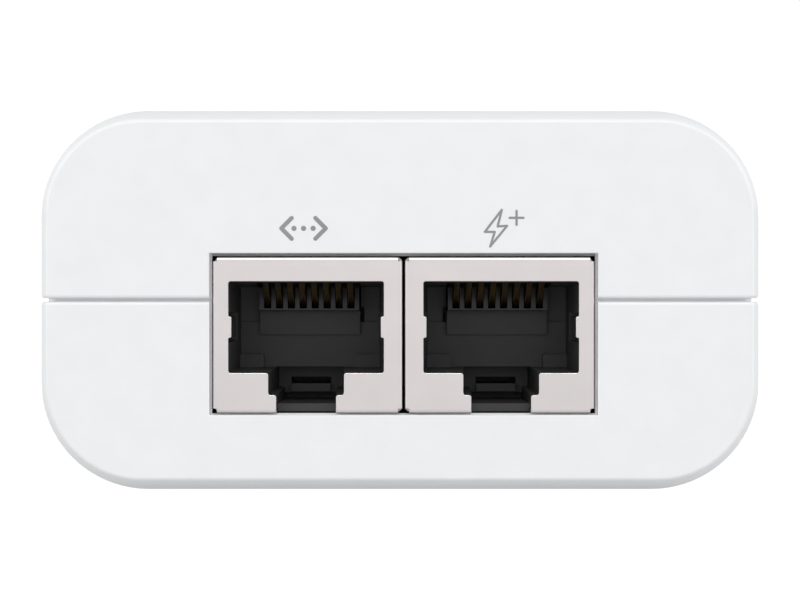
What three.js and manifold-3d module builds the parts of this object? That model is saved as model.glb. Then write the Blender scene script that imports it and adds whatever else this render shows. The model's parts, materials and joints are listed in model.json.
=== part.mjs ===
// A two-port power-over-Ethernet injector: a soft-cornered white case in two half shells, two shielded
// 8P8C jacks in its front wall, a C14 mains inlet in its rear wall, and an AC-DC supply on one board.
//
// Millimetres. +Z is up and z = 0 is the face that the case stands on, +Y runs from the jacks at the
// front to the inlet at the rear, and the origin is under the middle of the case.

import * as THREE from "three";
import { ConvexGeometry } from "three/addons/geometries/ConvexGeometry.js";
import { mergeVertices } from "three/addons/utils/BufferGeometryUtils.js";
import Module from "manifold-3d";

const wasm = await Module();
wasm.setup();

// ---------------------------------------------------------------- driving dimensions

// Case
const CASE_W = 61;
const CASE_H = 32.3;
const CASE_L = 126;
const CORNER_R = 9.15;
const WALL = 2.0;
const END_DRAW_IN = 1.26; // how far every side draws in towards each end face
const END_ARC_R = 27.6; // radius of the arc that does it
const EDGE_R = 0.25; // round on the edge of each end face
const PLINTH_H = 0.12; // raised flat that the case stands on
const PLINTH_W = 44.8;
const PLINTH_L = 108;
const SPLIT = 0.03; // between the two halves
const GROOVE_W = 0.34; // shallow groove outside the seam
const GROOVE_D = 0.4;
const TONGUE_T = 0.9;
const TONGUE_H = 1.2;
const TONGUE_PLAY = 0.2;

const FRONT = -CASE_L / 2;
const REAR = CASE_L / 2;
const MID_Z = PLINTH_H + CASE_H / 2;
const FLOOR_Z = PLINTH_H + WALL;
const CEILING_Z = PLINTH_H + CASE_H - WALL;

// Board
const BOARD_T = 1.6;
const BOARD_W = 51;
const BOARD_FRONT = -60.5;
const BOARD_REAR = 42;
const BOARD_TOP = MID_Z - 9.4;
const BOARD_UNDER = BOARD_TOP - BOARD_T;
const LEG_END = -3.1; // how far leads reach below a part's own base
const SEAT_GAP = 0.05; // between a soldered part and the board

// Jacks: in a jack's own frame y = 0 is its front and z = 0 its base
const JACK_W = 15.7;
const JACK_H = 12.9;
const JACK_D = 20.6;
const JACK_PITCH = 15.9;
const JACK_PAIR_X = 0.3;
const JACK_RECESS = 0.15;
const JACK_BASE_Z = MID_Z - 9.34;
const PORT_SHIFT = 0.12; // each port sits this far outboard of its shield's middle
const SHEET = 0.25;
const RELIEF = 0.36; // notch where two folds of the shield would meet at a corner
const RELIEF_DEPTH = 2.5;
const WIRE_PITCH = 1.02;
const WIRE_W = 0.42;
const WIRE_T = 0.3;
const WIRES = 8;
const PIVOT = { y: 3.6, z: 11.25 }; // the bend that a contact flexes about
const PORT = {
  half: 6.43, top: 10.88, shoulder: 3.3, // plug opening in the shield
  tabHalf: 6.18, tabLow: 6.21, tabHigh: 7.97, // grounding tabs at its sides
  latchHalf: 3.13, latchStep: 1.48, keyHalf: 2.47, // stepped slot for the plug's latch
};
const CAVITY = { half: 5.99, top: 10.46, floor: 3.55, depth: 10, latchDepth: 12.6 };
const MOUTH = { half: 6.45, top: 10.9, floor: 3.28, y: 0.2 }; // the cavity narrows from this

// Recess round the jacks in the front wall, and the play in the opening behind it
const CUT_SIDE = 0.25;
const CUT_TOP = 0.3;
const CUT_UNDER = 0.17;
const CUT_DEPTH = 1.0;
const CUT_FIT = 0.07;

// Mains inlet: in its own frame y = 0 is its rim and y runs inwards as negative
const INLET_W = 27;
const INLET_H = 19.8;
const INLET_D = 20;
const INLET_BEVEL = 4.8;
const INLET_RECESS = 0.2;
const SOCKET_W = 24.3;
const SOCKET_H = 16.5;
const SOCKET_D = 17;
const BLADE_PITCH = 7;
const BLADE_W = 2;
const BLADE_H = 4;

const SEGMENTS = 18; // sides of a round part

// ---------------------------------------------------------------- shapes and booleans

// A closed geometry as a solid that can be joined and cut.
function solidOf(geometry) {
  const bare = geometry.clone();
  bare.deleteAttribute("normal");
  bare.deleteAttribute("uv");
  const merged = mergeVertices(bare, 1e-4);
  return new wasm.Manifold(
    new wasm.Mesh({
      numProp: 3,
      vertProperties: new Float32Array(merged.attributes.position.array),
      triVerts: new Uint32Array(merged.index.array),
    }),
  );
}

function geometryOf(solid) {
  const mesh = solid.getMesh();
  const positions = new Float32Array(mesh.numVert * 3);
  for (let i = 0; i < mesh.numVert; i++)
    positions.set(mesh.vertProperties.subarray(i * mesh.numProp, i * mesh.numProp + 3), i * 3);
  const geometry = new THREE.BufferGeometry();
  geometry.setAttribute("position", new THREE.BufferAttribute(positions, 3));
  geometry.setIndex(new THREE.BufferAttribute(mesh.triVerts, 1));
  geometry.computeVertexNormals();
  return geometry;
}

const join = (...geometries) =>
  geometryOf(geometries.map(solidOf).reduce((all, next) => all.add(next)));

const cut = (base, ...tools) =>
  geometryOf(tools.map(solidOf).reduce((left, tool) => left.subtract(tool), solidOf(base)));

const common = (a, b) => geometryOf(solidOf(a).intersect(solidOf(b)));

// A box from its ranges along X, Y and Z.
function box([x0, x1], [y0, y1], [z0, z1]) {
  const geometry = new THREE.BoxGeometry(x1 - x0, y1 - y0, z1 - z0);
  return geometry.translate((x0 + x1) / 2, (y0 + y1) / 2, (z0 + z1) / 2);
}

// The same box on both sides of x = 0.
const boxPair = ([x0, x1], y, z) => [box([x0, x1], y, z), box([-x1, -x0], y, z)];

const extrude = (shape, depth) =>
  new THREE.ExtrudeGeometry(shape, { depth, bevelEnabled: false, curveSegments: 3 });

// Prisms: an outline in x and z along Y, in x and y along Z, and in y and z along X.
const prismY = (shape, y0, y1) => extrude(shape, y1 - y0).rotateX(Math.PI / 2).translate(0, y1, 0);
const prismZ = (shape, z0, z1) => extrude(shape, z1 - z0).translate(0, 0, z0);
const ALONG_X = new THREE.Matrix4().makeBasis(
  new THREE.Vector3(0, 1, 0),
  new THREE.Vector3(0, 0, 1),
  new THREE.Vector3(1, 0, 0),
);
const prismX = (shape, x0, x1) => extrude(shape, x1 - x0).applyMatrix4(ALONG_X).translate(x0, 0, 0);

// Cylinders along Z and along X.
const rodZ = (radius, x, y, z0, z1, sides = SEGMENTS) =>
  new THREE.CylinderGeometry(radius, radius, z1 - z0, sides)
    .rotateX(Math.PI / 2)
    .translate(x, y, (z0 + z1) / 2);
const rodX = (radius, x0, x1, y, z, sides = SEGMENTS) =>
  new THREE.CylinderGeometry(radius, radius, x1 - x0, sides)
    .rotateZ(Math.PI / 2)
    .translate((x0 + x1) / 2, y, z);

// A rounded rectangle centred on (cx, cy).
function roundedRect(width, height, radius, cx = 0, cy = 0) {
  const shape = new THREE.Shape();
  const [x0, x1] = [cx - width / 2, cx + width / 2];
  const [y0, y1] = [cy - height / 2, cy + height / 2];
  shape.moveTo(x0 + radius, y0);
  shape.lineTo(x1 - radius, y0);
  shape.absarc(x1 - radius, y0 + radius, radius, -Math.PI / 2, 0);
  shape.lineTo(x1, y1 - radius);
  shape.absarc(x1 - radius, y1 - radius, radius, 0, Math.PI / 2);
  shape.lineTo(x0 + radius, y1);
  shape.absarc(x0 + radius, y1 - radius, radius, Math.PI / 2, Math.PI);
  shape.lineTo(x0, y0 + radius);
  shape.absarc(x0 + radius, y0 + radius, radius, Math.PI, 1.5 * Math.PI);
  return shape;
}

const polygon = (points) => new THREE.Shape(points.map(([x, y]) => new THREE.Vector2(x, y)));

// A path of straight runs given a thickness, as bent wire or strip has.
function strip(path, thickness) {
  const points = path.map(([x, y]) => new THREE.Vector2(x, y));
  const sides = points.map((point, i) => {
    const before = points[Math.max(i - 1, 0)];
    const after = points[Math.min(i + 1, points.length - 1)];
    const into = point.clone().sub(before).normalize();
    const out = after.clone().sub(point).normalize();
    const along = into.add(out).normalize();
    const straight = i === 0 ? out : after === point ? along : out;
    const miter = new THREE.Vector2(-along.y, along.x);
    const reach = thickness / 2 / Math.max(0.3, miter.dot(new THREE.Vector2(-straight.y, straight.x)));
    return [point.clone().addScaledVector(miter, -reach), point.clone().addScaledVector(miter, reach)];
  });
  return new THREE.Shape([...sides.map((s) => s[0]), ...sides.reverse().map((s) => s[1])]);
}

// ---------------------------------------------------------------- case

// How far the case's sides stand in from its full section at y.
function drawIn(y) {
  const run = Math.sqrt(END_ARC_R ** 2 - (END_ARC_R - END_DRAW_IN) ** 2);
  const past = Math.max(0, Math.abs(y) - (CASE_L / 2 - run));
  return END_ARC_R - Math.sqrt(END_ARC_R ** 2 - past ** 2);
}

// The case's outline at one station, set in by some distance, as points round a rounded rectangle.
function sectionPoints(y, inset) {
  const cornerSteps = 6;
  const radius = CORNER_R - inset;
  const [cx, cz] = [CASE_W / 2 - CORNER_R, CASE_H / 2 - CORNER_R];
  const points = [];
  for (const [sx, sz, start] of [[1, 1, 0], [-1, 1, 0.5], [-1, -1, 1], [1, -1, 1.5]])
    for (let k = 0; k <= cornerSteps; k++) {
      const angle = (start + (0.5 * k) / cornerSteps) * Math.PI;
      points.push([sx * cx + radius * Math.cos(angle), y, MID_Z + sz * cz + radius * Math.sin(angle)]);
    }
  return points;
}

// The case's whole form set in by inset on every side, ends included.
function caseForm(inset, edge = 0) {
  const end = CASE_L / 2 - inset;
  const run = Math.sqrt(END_ARC_R ** 2 - (END_ARC_R - END_DRAW_IN) ** 2);
  const half = []; // [distance from the end, extra inset], from the end inwards
  const edgeSteps = edge ? 2 : 0;
  for (let k = 0; k <= edgeSteps; k++) {
    const angle = edgeSteps ? (k / edgeSteps) * (Math.PI / 2) : Math.PI / 2;
    half.push([edge * (1 - Math.cos(angle)), edge * (1 - Math.sin(angle))]);
  }
  const arcSteps = 4;
  for (let k = 1; k <= arcSteps; k++) half.push([(k / arcSteps) * (run - inset), 0]);
  const stations = [
    ...half.map(([t, extra]) => [-end + t, extra]),
    ...half.reverse().map(([t, extra]) => [end - t, extra]),
  ];
  const rings = stations.map(([y, extra]) => sectionPoints(y, inset + extra + drawIn(y)));
  const count = rings[0].length;
  const faces = [];
  for (let r = 0; r + 1 < rings.length; r++)
    for (let i = 0; i < count; i++) {
      const [a, b] = [r * count + i, r * count + ((i + 1) % count)];
      faces.push(a, a + count, b, b, a + count, b + count);
    }
  const last = (rings.length - 1) * count;
  for (let i = 1; i + 1 < count; i++) {
    faces.push(0, i, i + 1);
    faces.push(last, last + i + 1, last + i);
  }
  const geometry = new THREE.BufferGeometry();
  geometry.setAttribute("position", new THREE.Float32BufferAttribute(rings.flat(2), 3));
  geometry.setIndex(faces);
  return geometry;
}

const wide = [-CASE_W, CASE_W];
const long = [-CASE_L, CASE_L];

// The opening that the pair of jacks fills, with a shallow recess round it in the front face.
function jackWindow() {
  const half = (JACK_PITCH + JACK_W) / 2;
  const hole = (side, above, under, depth) =>
    box(
      [JACK_PAIR_X - half - side, JACK_PAIR_X + half + side],
      [FRONT - 1, FRONT + depth],
      [JACK_BASE_Z - under, JACK_BASE_Z + JACK_H + above],
    );
  const recess = hole(CUT_SIDE, CUT_TOP, CUT_UNDER, CUT_DEPTH);
  return join(recess, hole(CUT_FIT, CUT_FIT, CUT_FIT, WALL + 1.5));
}

// The groove that runs right round the case where its halves meet.
const seamGroove = () =>
  common(
    cut(caseForm(-0.5), caseForm(GROOVE_D)),
    box(wide, long, [MID_Z - GROOVE_W / 2, MID_Z + GROOVE_W / 2]),
  );

// The mains inlet's outline: two bevelled corners on the earth side, two rounded ones below.
function inletOutline(width, height, bevel, radius, z = 0) {
  const [x, top, under] = [width / 2, z + height / 2, z - height / 2];
  const shape = new THREE.Shape();
  shape.moveTo(-x + radius, under);
  shape.lineTo(x - radius, under);
  shape.absarc(x - radius, under + radius, radius, -Math.PI / 2, 0);
  shape.lineTo(x, top - bevel);
  shape.lineTo(x - bevel, top);
  shape.lineTo(-x + bevel, top);
  shape.lineTo(-x, top - bevel);
  shape.lineTo(-x, under + radius);
  shape.absarc(-x + radius, under + radius, radius, Math.PI, 1.5 * Math.PI);
  return shape;
}

function inletWindow() {
  const play = 0.5;
  return prismY(
    inletOutline(INLET_W + play, INLET_H + play, INLET_BEVEL, 2.1, MID_Z),
    REAR - WALL - 1.5,
    REAR + 1,
  );
}

const SCREW_SPOTS = [[-20.5, -37], [20.5, -37], [-20.5, 34], [20.5, 34]];
const RIB_YS = [-30, -5, 22, 48];

function upperShell() {
  const hollow = cut(caseForm(0, EDGE_R), caseForm(WALL));
  const half = common(hollow, box(wide, long, [MID_Z + SPLIT / 2, CASE_H * 2]));
  const rebate = common(
    cut(caseForm(WALL - TONGUE_T - TONGUE_PLAY), caseForm(WALL + 0.5)),
    box(wide, long, [MID_Z - 1, MID_Z + TONGUE_H + TONGUE_PLAY]),
  );
  const ribs = RIB_YS.map((y) => box([-19, 19], [y - 0.6, y + 0.6], [CEILING_Z - 1.5, CEILING_Z + 0.5]));
  return cut(join(half, ...ribs), rebate, seamGroove(), jackWindow(), inletWindow());
}

function lowerShell() {
  const hollow = cut(caseForm(0, EDGE_R), caseForm(WALL));
  const half = common(hollow, box(wide, long, [-1, MID_Z - SPLIT / 2]));
  const tongue = common(
    cut(caseForm(WALL - TONGUE_T), caseForm(WALL)),
    box(wide, long, [MID_Z - 1.5, MID_Z + TONGUE_H]),
  );
  const plinth = prismZ(roundedRect(PLINTH_W, PLINTH_L, 6), 0, PLINTH_H + 0.6);
  const bosses = SCREW_SPOTS.map(([x, y]) => rodZ(3.2, x, y, FLOOR_Z - 0.5, BOARD_UNDER - SEAT_GAP));
  const cradles = boxPair([13.6, 20], [56.9, 57.9], [FLOOR_Z - 0.5, MID_Z - 2]);
  const screwHoles = SCREW_SPOTS.map(([x, y]) => rodZ(1.15, x, y, FLOOR_Z + 0.2, BOARD_TOP, 12));
  const labelRecess = prismZ(roundedRect(34, 62, 2), -1, 0.2);
  return cut(
    join(half, tongue, plinth, ...bosses, ...cradles),
    ...screwHoles, labelRecess, seamGroove(), jackWindow(), inletWindow(),
  );
}

const ratingLabel = () => prismZ(roundedRect(33.6, 61.6, 1.8), 0.06, 0.18);

// ---------------------------------------------------------------- jacks

const wireX = (i) => (i - (WIRES - 1) / 2) * WIRE_PITCH;
const legY = (i) => (i % 2 ? 17.3 : 14.75); // two staggered rows of leads into the board

// The opening that the shield leaves for a plug, in x and z.
function portOutline() {
  const p = PORT;
  const right = [
    [p.keyHalf, -1], [p.keyHalf, p.latchStep], [p.latchHalf, p.latchStep],
    [p.latchHalf, p.shoulder], [p.half, p.shoulder], [p.half, p.tabLow],
    [p.tabHalf, p.tabLow], [p.tabHalf, p.tabHigh], [p.half, p.tabHigh], [p.half, p.top],
  ];
  return polygon([...right, ...right.map(([x, z]) => [-x, z]).reverse()]);
}

// A hollow with flat sides that narrows towards the rear. Each end is [half width, low z, high z].
function taperY(front, back, [y0, y1]) {
  const ring = ([half, low, high], y) =>
    [[-half, low], [half, low], [half, high], [-half, high]].map(([x, z]) => new THREE.Vector3(x, y, z));
  return new ConvexGeometry([...ring(front, y0), ...ring(back, y1)]);
}

// Stamped shield: front, top, sides and back in one sheet, its floor open behind a short lip.
function jackShield(portX) {
  const outer = prismY(roundedRect(JACK_W, JACK_H, 0.45, 0, JACK_H / 2), 0, JACK_D);
  const inner = prismY(
    roundedRect(JACK_W - 2 * SHEET, JACK_H - 2 * SHEET, 0.2, 0, JACK_H / 2),
    SHEET,
    JACK_D - SHEET,
  );
  const openFloor = box([-7.35, 7.35], [3.2, JACK_D - 0.4], [-1, 0.6]);
  const port = prismY(portOutline(), -1, SHEET + 0.2).translate(portX, 0, 0);
  const springs = [1, -1].map((side) =>
    prismZ(
      strip([[side * 6.32, 0.1], [side * 6.1, 4.2], [side * 6.5, 6.3]], 0.2),
      PORT.tabLow,
      PORT.tabHigh,
    ).translate(portX, 0, 0),
  );
  const groundLegs = boxPair([JACK_W / 2 - SHEET, JACK_W / 2], [9, 10.6], [LEG_END, 1]);
  const reliefs = [[-1, RELIEF], [JACK_H - RELIEF, JACK_H + 1]].flatMap((height) =>
    boxPair([JACK_W / 2 - RELIEF, JACK_W], [-1, RELIEF_DEPTH], height),
  );
  return join(cut(outer, inner, openFloor, port, ...reliefs), ...springs, ...groundLegs);
}

// Moulded insulator: the plug's cavity, the latch channel, and pockets for the contact insert behind.
function jackHousing(portX) {
  const [c, m] = [CAVITY, MOUTH];
  const block = box([-7.5, 7.5], [SHEET + 0.05, JACK_D - 0.4], [SHEET + 0.05, JACK_H - SHEET - 0.1]);
  const inboard = -Math.sign(portX);
  const slot = [inboard * 4.4, inboard * 4.68].sort((a, b) => a - b);
  const pockets = [
    taperY([m.half, m.floor, m.top], [c.half, c.floor, c.top], [m.y, c.depth]),
    taperY([3.15, 1.46, m.floor + 0.1], [2.8, 1.75, c.floor + 0.1], [m.y, c.latchDepth]),
    taperY([2.49, 0.71, 1.8], [2.3, 0.71, 1.8], [m.y, c.latchDepth]),
    box([-2.3, 2.3], [12, 13.5], [0.71, 1.28]),
    box([-4.4, 4.4], [3, 13.2], [8.4, JACK_H]),
    box([-5.4, 5.4], [13, JACK_D], [0, JACK_H]),
    box([-1.74, 1.74], [12.4, 13.5], [2.06, 2.62]),
    box(slot, [9.8, 13.5], [7.44, 8.74]),
    ...boxPair([4.31, c.half - 0.05], [9.8, c.depth + 0.35], [7.44, 8.74]),
    ...boxPair([5.8, 7.6], [0, 7.3], [5.85, 8.3]),
  ];
  const steps = [
    box([-4.31, 4.31], [9.5, 10.2], [6.37, 8.4]),
    ...boxPair([3.97, c.half + 0.2], [9.2, 10.2], [c.floor - 0.2, 4.66]),
    box([-1.7, 1.7], [11.8, 12.8], [1.37, 2.06]),
  ];
  const pegs = [-1, 1].map((side) => rodZ(1.5, side * 5.7, 8.9, -2.2, 0.6, 10));
  const port = cut(block, ...pockets.map((pocket) => pocket.translate(portX, 0, 0)));
  return join(port, ...steps.map((step) => step.translate(portX, 0, 0)), ...pegs);
}

// Contact insert: comb, cover and rear block moulded round the eight fixed leads.
function contactInsert() {
  const cover = box([-4.2, 4.2], [3.2, 18.2], [11.75, 12.45]);
  const rearBlock = box([-5.2, 5.2], [13.4, 18.6], [0.4, 12.45]);
  const combFloor = box([-4.28, 4.28], [7.6, 13.6], [8.45, 8.62]);
  const ribs = Array.from({ length: WIRES + 1 }, (_, i) => {
    const x = wireX(i - 0.5);
    return box([x - 0.2, x + 0.2], [7.6, 13.6], [8.5, 10.4]);
  });
  const leads = Array.from({ length: WIRES }, (_, i) => {
    const across = [wireX(i) - WIRE_W / 2, wireX(i) + WIRE_W / 2];
    return [
      box(across, [4.05, legY(i)], [11.5, 11.9]),
      box(across, [legY(i) - 0.2, legY(i) + 0.2], [LEG_END, 1.2]),
    ];
  }).flat();
  const latchWells = [
    box([-1.74, 1.74], [13, 17], [2.06, 2.62]),
    box([-2.3, 2.3], [13, 14.4], [0.71, 1.28]),
  ];
  return join(cut(rearBlock, ...latchWells), cover, combFloor, ...ribs, ...leads);
}

// The springing part of one contact wire: a round bend to flex about, and a beam that hangs back from it.
function contactBeam(i) {
  const across = [wireX(i) - WIRE_W / 2, wireX(i) + WIRE_W / 2];
  const beam = strip([[PIVOT.y, PIVOT.z], [8.7, 9.2], [9.9, 8.95]], WIRE_T);
  return join(prismX(beam, ...across), rodX(0.27, ...across, PIVOT.y, PIVOT.z, 10));
}

function jack(name, side) {
  const group = new THREE.Group();
  group.position.set(JACK_PAIR_X + (side * JACK_PITCH) / 2, FRONT + JACK_RECESS, JACK_BASE_Z);
  const portX = side * PORT_SHIFT;
  group.add(part(`${name}_shield`, jackShield(portX), FINISH.nickel));
  group.add(part(`${name}_housing`, jackHousing(portX), FINISH.blackPlastic));
  const contacts = new THREE.Group();
  contacts.position.x = portX;
  contacts.add(part(`${name}_contact_insert`, contactInsert(), FINISH.blackPlastic));
  for (let i = 0; i < WIRES; i++)
    contacts.add(part(`${name}_contact_${i + 1}`, contactBeam(i), FINISH.gold));
  group.add(contacts);
  return group;
}

// ---------------------------------------------------------------- mains inlet

const BLADES = {
  line: { x: BLADE_PITCH, z: -2, tip: -2.6 },
  neutral: { x: -BLADE_PITCH, z: -2, tip: -2.6 },
  earth: { x: 0, z: 2, tip: -1.2 },
};

function inletHousing() {
  const body = prismY(inletOutline(INLET_W, INLET_H, INLET_BEVEL, 2), -INLET_D, 0);
  const flange = prismY(roundedRect(30.6, 22.6, 1.5), -4.6, -2.4);
  const socket = prismY(inletOutline(SOCKET_W, SOCKET_H, INLET_BEVEL, 1.2), -SOCKET_D, 1);
  const slots = Object.values(BLADES).map(({ x, z }) =>
    box(
      [x - BLADE_W / 2 - 0.1, x + BLADE_W / 2 + 0.1],
      [-INLET_D - 1, -SOCKET_D + 1],
      [z - BLADE_H / 2 - 0.1, z + BLADE_H / 2 + 0.1],
    ),
  );
  return cut(join(body, flange), socket, ...slots);
}

// A blade with its tail, which bends down behind the inlet into the board.
function inletBlade({ x, z, tip }) {
  const across = [x - BLADE_W / 2, x + BLADE_W / 2];
  const blade = box(across, [-INLET_D - 0.6, tip - 0.8], [z - BLADE_H / 2, z + BLADE_H / 2]);
  const nose = box(
    [x - BLADE_W / 2 + 0.35, x + BLADE_W / 2 - 0.35],
    [tip - 1.2, tip],
    [z - BLADE_H / 2 + 0.5, z + BLADE_H / 2 - 0.5],
  );
  const tail = box([x - 0.5, x + 0.5], [-24.3, -INLET_D], [z - 1, z + 1]);
  const leg = box([x - 0.5, x + 0.5], [-24.3, -23.3], [BOARD_UNDER - 1.7 - MID_Z, z + 1]);
  return join(blade, nose, tail, leg);
}

function mainsInlet() {
  const group = new THREE.Group();
  group.position.set(0, REAR - INLET_RECESS, MID_Z);
  group.add(part("mains_inlet_housing", inletHousing(), FINISH.blackPlastic));
  for (const [name, blade] of Object.entries(BLADES))
    group.add(part(`mains_inlet_${name}_pin`, inletBlade(blade), FINISH.nickel));
  return group;
}

// ---------------------------------------------------------------- board and what is on it

function circuitBoard() {
  const slab = box([-BOARD_W / 2, BOARD_W / 2], [BOARD_FRONT, BOARD_REAR], [BOARD_UNDER, BOARD_TOP]);
  const through = [BOARD_UNDER - 1, BOARD_TOP + 1];
  const holes = SCREW_SPOTS.map(([x, y]) => rodZ(1.4, x, y, ...through, 10));
  for (const side of [-1, 1]) {
    const x = JACK_PAIR_X + (side * JACK_PITCH) / 2;
    const y = FRONT + JACK_RECESS;
    for (const peg of [-5.7, 5.7]) holes.push(rodZ(1.75, x + peg, y + 8.9, ...through, 10));
    for (let i = 0; i < WIRES; i++)
      holes.push(rodZ(0.5, x + side * PORT_SHIFT + wireX(i), y + legY(i), ...through, 6));
    for (const leg of [-1, 1]) {
      const lx = x + leg * (JACK_W / 2 - SHEET / 2);
      holes.push(box([lx - 0.3, lx + 0.3], [y + 8.7, y + 10.9], through));
    }
  }
  for (const { x } of Object.values(BLADES))
    holes.push(box([x - 0.8, x + 0.8], [REAR - INLET_RECESS - 24.6, REAR - INLET_RECESS - 23], through));
  return cut(slab, ...holes);
}

const SEAT = BOARD_TOP + SEAT_GAP;

// A pan-head screw through the board into a boss.
function boardScrew([x, y]) {
  const shank = rodZ(1.0, x, y, FLOOR_Z + 0.6, BOARD_TOP + 0.3, 12);
  const head = rodZ(2.2, x, y, SEAT, SEAT + 1.5, 16);
  const recess = [box([x - 1.2, x + 1.2], [y - 0.25, y + 0.25], [SEAT + 0.7, SEAT + 2])];
  recess.push(box([x - 0.25, x + 0.25], [y - 1.2, y + 1.2], [SEAT + 0.7, SEAT + 2]));
  return cut(join(shank, head), ...recess);
}

// A moulded chip with a row of legs along two opposite sides.
function chip(x, y, width, length, height, legs, legReach = 1) {
  const body = box(
    [x - width / 2, x + width / 2],
    [y - length / 2, y + length / 2],
    [SEAT + 0.25, SEAT + 0.25 + height],
  );
  const pitch = length / legs;
  const feet = Array.from({ length: legs }, (_, i) => {
    const ly = y + (i - (legs - 1) / 2) * pitch;
    const reach = width / 2 + legReach;
    return box([x - reach, x + reach], [ly - pitch * 0.2, ly + pitch * 0.2], [SEAT, SEAT + 0.4]);
  });
  return join(body, ...feet);
}

// A radial electrolytic capacitor standing on the board, with its rolled groove near the base.
function standingCapacitor(x, y, radius, height) {
  const profile = [
    [0, 0], [radius - 0.3, 0], [radius, 0.3], [radius, 1.4], [radius - 0.5, 1.9], [radius, 2.4],
    [radius, height - 0.6], [radius - 0.6, height], [0, height],
  ].map(([r, h]) => new THREE.Vector2(r, h));
  return new THREE.LatheGeometry(profile, SEGMENTS).rotateX(Math.PI / 2).translate(x, y, SEAT);
}

// The large smoothing capacitor, lying across the board.
function bulkCapacitor() {
  const [radius, length, y] = [8, 25, 14.5];
  const profile = [
    [0, 0], [radius - 0.6, 0], [radius, 0.6], [radius, 3], [radius - 0.7, 3.7], [radius, 4.4],
    [radius, length - 0.8], [radius - 0.8, length], [0, length],
  ].map(([r, h]) => new THREE.Vector2(r, h));
  return new THREE.LatheGeometry(profile, SEGMENTS)
    .rotateZ(Math.PI / 2)
    .translate(length / 2, y, SEAT + radius + 0.1);
}

const TRANSFORMER = { x: 0, y: -5, coreW: 26, coreD: 8, coreZ: 3, coreH: 19, leg: 3.6 };

function transformerCore() {
  const t = TRANSFORMER;
  const [z0, z1] = [SEAT + t.coreZ, SEAT + t.coreZ + t.coreH];
  const frame = box([t.x - t.coreW / 2, t.x + t.coreW / 2], [t.y - t.coreD / 2, t.y + t.coreD / 2], [z0, z1]);
  const windows = boxPair([t.leg, t.coreW / 2 - 3.2], [t.y - t.coreD, t.y + t.coreD], [z0 + 3, z1 - 3]);
  return cut(frame, ...windows);
}

function transformerBobbin() {
  const t = TRANSFORMER;
  const [z0, z1] = [SEAT + t.coreZ + 3.15, SEAT + t.coreZ + t.coreH - 3.15];
  const flange = (low) => box([t.x - 9.3, t.x + 9.3], [t.y - 10.5, t.y + 10.5], [low, low + 0.8]);
  const [tubeX, tubeY] = [t.leg + 0.8, t.coreD / 2 + 0.8];
  const tube = box([t.x - tubeX, t.x + tubeX], [t.y - tubeY, t.y + tubeY], [z0, z1]);
  const [boreX, boreY] = [t.leg + 0.2, t.coreD / 2 + 0.2];
  const bore = box([t.x - boreX, t.x + boreX], [t.y - boreY, t.y + boreY], [0, 60]);
  const bases = [-1, 1].map((side) => {
    const y = t.y + side * 8.2;
    return box([t.x - 9.3, t.x + 9.3], [y - 2.3, y + 2.3], [SEAT + 0.4, z0 + 0.5]);
  });
  const pins = [-1, 1].flatMap((side) =>
    [-7.5, -2.5, 2.5, 7.5].map((x) => rodZ(0.4, t.x + x, t.y + side * 9, SEAT, SEAT + 1, 6)),
  );
  return join(cut(join(flange(z0), flange(z1 - 0.8), tube), bore), ...bases, ...pins);
}

function transformerWinding() {
  const t = TRANSFORMER;
  const [z0, z1] = [SEAT + t.coreZ + 4.1, SEAT + t.coreZ + t.coreH - 4.1];
  const coil = prismZ(roundedRect(18.2, 20.4, 5.5, t.x, t.y), z0, z1);
  const [holeX, holeY] = [t.leg + 0.95, t.coreD / 2 + 0.95];
  const hole = box([t.x - holeX, t.x + holeX], [t.y - holeY, t.y + holeY], [z0 - 1, z1 + 1]);
  return cut(coil, hole);
}

const CLAMP_Z = SEAT + 15.8;

// A TO-220 power package standing with its metal back towards +X (side 1) or -X (side -1).
function powerPackage(x, y, side) {
  const range = (a, b) => (side > 0 ? [x + a, x + b] : [x - b, x - a]);
  const body = box(range(-4.5, -1.3), [y - 5, y + 5], [SEAT + 4, SEAT + 13]);
  const tab = box(range(-1.4, -0.1), [y - 5, y + 5], [SEAT + 4, SEAT + 18.5]);
  const hole = rodX(1.9, ...range(-3, 1), y, CLAMP_Z, 12);
  const legs = [-2.54, 0, 2.54].map((dy) =>
    box(range(-3, -2.5), [y + dy - 0.4, y + dy + 0.4], [SEAT, SEAT + 4.5]),
  );
  return join(cut(join(body, tab), hole), ...legs);
}

// A folded aluminium plate that a power package is screwed to. Its foot turns away from the package.
function heatsink(x, y, side, length) {
  const range = (a, b) => (side > 0 ? [x + a, x + b] : [x - b, x - a]);
  const plate = box(range(0, 1.5), [y - length / 2, y + length / 2], [SEAT + 0.2, SEAT + 20]);
  const lip = box(range(-3.5, 0.5), [y - length / 2, y + length / 2], [SEAT + 20 - 1.2, SEAT + 20.2]);
  const pins = [-1, 1].map((end) => {
    const middle = y + end * (length / 2 - 2);
    return box(range(0.2, 1.3), [middle - 0.8, middle + 0.8], [SEAT, SEAT + 1]);
  });
  const hole = rodX(1.5, ...range(-1, 3), y, CLAMP_Z, 12);
  return cut(join(plate, lip, ...pins), hole);
}

// The screw that clamps a package to its heatsink.
function clampScrew(x, y, side) {
  const range = (a, b) => (side > 0 ? [x + a, x + b] : [x - b, x - a]);
  const shank = rodX(1.35, ...range(-2, 2.2), y, CLAMP_Z, 12);
  return join(shank, rodX(2.7, ...range(-3.2, -1.5), y, CLAMP_Z, 16));
}

const CHOKE = { x: -13.2, y: 32.8, z: SEAT + 9.6, ringR: 5.6 };

// A ring about an axis along X, its section swollen along that axis.
const chokeRing = (tubeR, swell) =>
  new THREE.TorusGeometry(CHOKE.ringR, tubeR, 8, 20)
    .scale(1, 1, swell)
    .rotateY(Math.PI / 2)
    .translate(CHOKE.x, CHOKE.y, CHOKE.z);

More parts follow.
